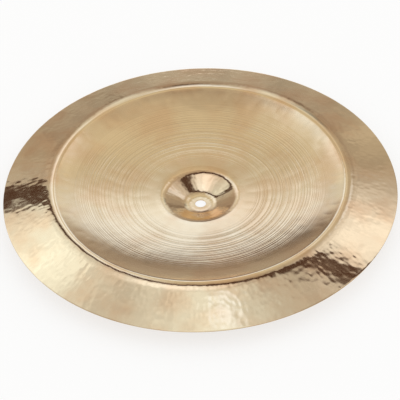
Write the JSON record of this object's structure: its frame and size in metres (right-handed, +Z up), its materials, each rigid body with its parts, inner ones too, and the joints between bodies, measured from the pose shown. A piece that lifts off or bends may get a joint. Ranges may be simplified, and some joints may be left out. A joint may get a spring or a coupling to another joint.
{
  "type": "china cymbal",
  "caption": "Round bronze percussion disc, bell side down: a small cupped bell with a central mounting hole, a shallow lathed bow, a sharp fold and a straight flange turned down to the rim.",
  "frame": {"origin": "centre of the mounting hole, on the outer face of the bell's crown, which is the lowest point with the bell down", "axes": "+Z up along the hole's axis, out of the bell's hollow side; the disc is round, so X and Y are any two directions across it, with -Y towards the picture's camera"},
  "size_m": [0.4572, 0.4572, 0.0395],
  "materials": {
    "bronze": "hammered and lathed cast bronze, polished to a bright finish"
  },
  "bodies": {
    "root": {"cymbal": "bronze"}
  },
  "joints": []
}
